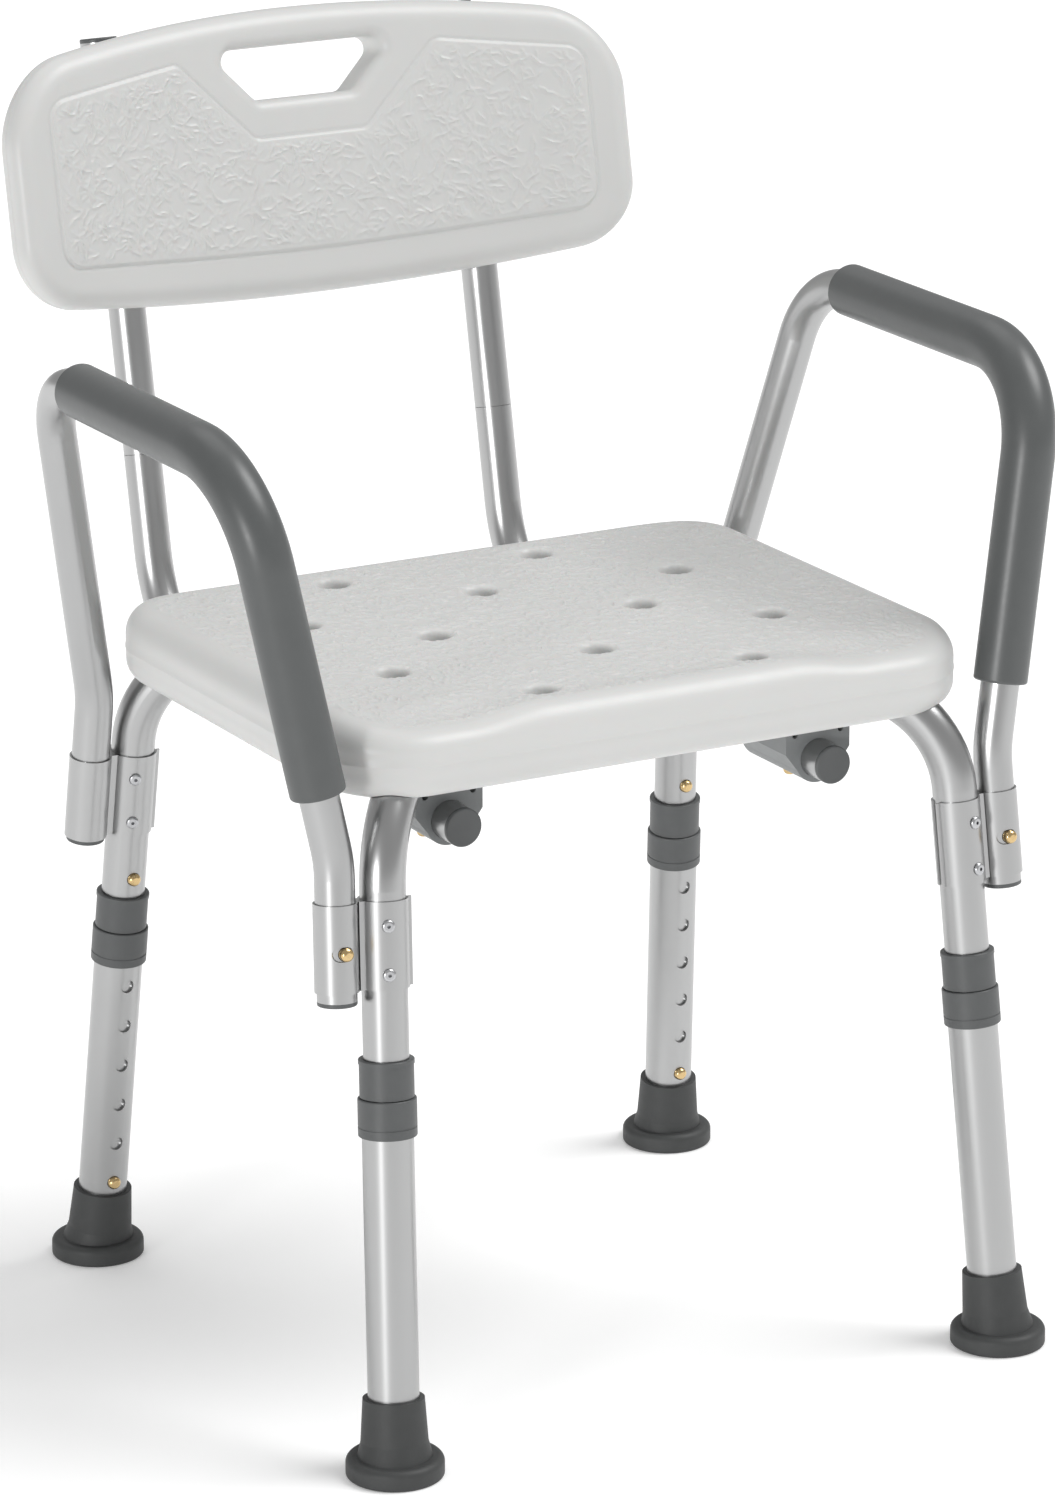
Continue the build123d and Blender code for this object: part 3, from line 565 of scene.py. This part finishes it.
def back_mesh():
    """The back as one closed surface: rear, rims of the edge and the hand hole, grained front."""
    surface = Surface()
    outline = back_outline(BACK_PITCH * 1.25)
    handle = rounded(HANDLE, [HANDLE_CORNER] * 4, 1.0)
    rear_out, front_out = rim_rows(surface, outline, BACK_RIM + 2, BACK_THICK, BACK_RIM)
    rear_in, front_in = rim_rows(surface, handle, -HANDLE_RIM, BACK_THICK, -5.0)
    crest = [inset(outline, BACK_RIM + 2), inset(handle, -HANDLE_RIM)]
    field = field_outline(BACK_PITCH)
    creases = [inset(field, away) for away in (-FIELD_SLOPE / 2, 0, FIELD_SLOPE / 2)]
    grid = clear_grid(crest, creases, BACK_PITCH)
    surface.fill(crest, [front_out, front_in], creases, grid, back_face(field))
    rear = [inset(outline, BACK_RIM), inset(handle, -5.0)]
    grid = clear_grid(rear, [], 3.0)
    surface.fill(rear, [rear_out, rear_in], [], grid, lambda points: np.zeros(len(points)))
    return surface.mesh("back_shell", back_frame)


def post_grooves():
    """Cutters where the two posts nest in the back's rear face."""
    cap_low, cap_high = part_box("post_caps")
    top = (cap_low + cap_high) / (2 * MM)
    along = np.array((0, sin(LEAN), cos(LEAN)))
    cutters = []
    for side in (-1, 1):
        high = np.array((side * POST_X, top.y, top.z)) + along * 20
        ring = circle((0, 0), POST_GROOVE_R, 48)
        across = ring[:, :1] * np.array((1, 0, 0)) + ring[:, 1:] * np.array((0, cos(LEAN), -sin(LEAN)))
        cutters.append(lofted("post", [high + across, high - along * 280 + across]))
    return cutters


def make_back():
    back = back_mesh()
    cut_away(back, post_grooves())
    shade(back, 38)
    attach(back, "back_upper")
    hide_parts("back_panel")
    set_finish(back, "white_plastic")
    return back


# ---------------------------------------------------------------- materials
def node(tree, kind, at, **values):
    made = tree.nodes.new(kind)
    made.location = at
    for key, value in values.items():
        if key in made.inputs:
            made.inputs[key].default_value = value
        else:
            setattr(made, key, value)
    return made


def ranged(tree, source, low, high, at):
    """Maps a 0 to 1 pattern on a range."""
    made = node(tree, "ShaderNodeMapRange", at)
    made.inputs["To Min"].default_value = low
    made.inputs["To Max"].default_value = high
    tree.links.new(source, made.inputs["Value"])
    return made.outputs["Result"]


def finish_material(name, colours, roughness, bump, uniform=()):
    """Procedural finish: two mixed tones, uneven gloss and a fine bump.

    colours are the two tones and the size of their patches; roughness is a low, a high and the
    size of its patches; bump is the size and the height of its grains. Sizes are millimetres.
    """
    made = bpy.data.materials.new(name)
    made.use_nodes = True
    tree = made.node_tree
    shader = tree.nodes["Principled BSDF"]
    place = node(tree, "ShaderNodeTexCoord", (-1200, 0)).outputs["Object"]

    def pattern(size, detail, at):
        made = node(tree, "ShaderNodeTexNoise", at, Scale=1 / (size * MM), Detail=detail)
        tree.links.new(place, made.inputs["Vector"])
        return made.outputs["Fac"]

    tone = node(tree, "ShaderNodeMix", (-300, 200), data_type="RGBA")
    for socket, colour in zip([s for s in tone.inputs if s.type == "RGBA"], colours[:2]):
        socket.default_value = (*colour, 1)
    patches = pattern(colours[2], 3, (-800, 200))
    tree.links.new(ranged(tree, patches, 0, 1, (-500, 200)), tone.inputs["Factor"])
    tree.links.new([s for s in tone.outputs if s.type == "RGBA"][0], shader.inputs["Base Color"])
    sheen = pattern(roughness[2], 4, (-800, -50))
    gloss = ranged(tree, sheen, roughness[0], roughness[1], (-500, -50))
    tree.links.new(gloss, shader.inputs["Roughness"])
    relief = node(tree, "ShaderNodeBump", (-250, -300), Strength=1.0, Distance=bump[1] * MM)
    tree.links.new(pattern(bump[0], 3, (-800, -300)), relief.inputs["Height"])
    tree.links.new(relief.outputs["Normal"], shader.inputs["Normal"])
    for key, value in uniform:
        shader.inputs[key].default_value = value
    return made


def make_materials():
    """One finish for each material slot of the record."""
    metal = ("Metallic", 1.0)
    return {
        "white_plastic": finish_material(
            "white_polyethylene", ((0.59, 0.592, 0.582), (0.62, 0.621, 0.611), 60), (0.34, 0.46, 9),
            (0.9, 0.02), [
                ("Subsurface Weight", 0.06),
                ("Subsurface Scale", 0.004),
                ("Specular IOR Level", 0.45),
            ]),
        "aluminium": finish_material(
            "satin_anodised_aluminium", ((0.43, 0.432, 0.432), (0.45, 0.452, 0.452), 40), (0.29, 0.31, 40),
            (0.9, 0.0003), [metal]),
        "grip": finish_material(
            "pvc_foam", ((0.078, 0.083, 0.083), (0.09, 0.095, 0.095), 12), (0.34, 0.42, 5),
            (0.8, 0.02), [("Specular IOR Level", 0.6)]),
        "dark_plastic": finish_material(
            "dark_moulding", ((0.08, 0.084, 0.085), (0.095, 0.099, 0.1), 8), (0.38, 0.5, 3),
            (0.6, 0.015)),
        "grey_plastic": finish_material(
            "grey_moulding", ((0.17, 0.178, 0.18), (0.2, 0.208, 0.21), 10), (0.38, 0.5, 4),
            (0.7, 0.02)),
        "rubber": finish_material(
            "foot_rubber", ((0.036, 0.038, 0.038), (0.048, 0.05, 0.05), 6), (0.5, 0.66, 3),
            (0.7, 0.03)),
        "brass": finish_material(
            "polished_brass", ((0.70, 0.52, 0.27), (0.62, 0.44, 0.21), 3), (0.16, 0.3, 1.5),
            (0.4, 0.003), [metal]),
        "steel": finish_material(
            "zinc_plated_steel", ((0.56, 0.565, 0.575), (0.48, 0.485, 0.5), 3), (0.22, 0.4, 1.2),
            (0.3, 0.004), [metal]),
    }


def dress(materials, pieces):
    """Gives every CAD part and every new piece the finish of its slot."""
    for part in frame["record"]["subparts"]:
        data = frame["nodes"][part["node"]].data
        data.materials.clear()
        data.materials.append(materials[part["material_slot"]])
    for piece in pieces:
        piece.data.materials.clear()
        piece.data.materials.append(materials[piece["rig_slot"]])


# ---------------------------------------------------------------- camera, floor and light
def make_camera():
    camera = bpy.data.objects.new("camera", bpy.data.cameras.new("camera"))
    right = Vector((0.8755, -0.4831, -0.0021))
    up = Vector((0.1437, 0.2562, 0.9559))
    back = right.cross(up).normalized()
    aim = Matrix((right, up, back)).transposed().to_4x4()
    camera.matrix_world = Matrix.Translation((-1.74044, -3.19854, 1.44100)) @ aim
    camera.data.lens = 157.434
    camera.data.sensor_width = 36
    camera.data.clip_end = 100
    camera.data.shift_x = 0.0019
    camera.data.shift_y = -0.0022
    bpy.context.scene.collection.objects.link(camera)
    bpy.context.scene.camera = camera


def make_floor():
    data = bpy.data.meshes.new("floor")
    reach = 14
    corners = [(-reach, -reach, 0), (reach, -reach, 0), (reach, reach, 0), (-reach, reach, 0)]
    data.from_pydata(corners, [], [(0, 1, 2, 3)])
    floor = bpy.data.objects.new("floor", data)
    bpy.context.scene.collection.objects.link(floor)
    data.materials.append(finish_material(
        "pale_floor", ((0.96, 0.96, 0.96), (0.97, 0.97, 0.97), 900), (0.7, 0.8, 200), (40, 0.01),
        [("Specular IOR Level", 0.0), ("Emission Color", (1, 1, 1, 1)), ("Emission Strength", 0.16)]))


def sun(name, azimuth, elevation, strength, softness):
    """Soft sun from an azimuth, 0 in front and 90 to the right, and an elevation, in degrees."""
    light = bpy.data.lights.new(name, "SUN")
    light.energy = strength
    light.angle = radians(softness)
    lamp = bpy.data.objects.new(name, light)
    a, e = radians(azimuth), radians(elevation)
    way = Vector((sin(a) * cos(e), -cos(a) * cos(e), sin(e)))
    lamp.rotation_mode = "QUATERNION"
    lamp.rotation_quaternion = way.to_track_quat("Z", "Y")
    bpy.context.scene.collection.objects.link(lamp)


def make_light():
    world = bpy.data.worlds.new("studio")
    world.use_nodes = True
    background = world.node_tree.nodes["Background"]
    background.inputs["Color"].default_value = (1.0, 1.0, 1.0, 1)
    background.inputs["Strength"].default_value = 0.47
    bpy.context.scene.world = world
    sun("key", 66, 56, 1.85, 32)
    sun("fill", -60, 6, 1.0, 10)
    sun("top", 170, 60, 0.4, 40)
    bpy.context.scene.view_settings.view_transform = "Standard"


pieces = [make_seat(), make_back()]
dress(make_materials(), pieces)
make_camera()
make_floor()
make_light()
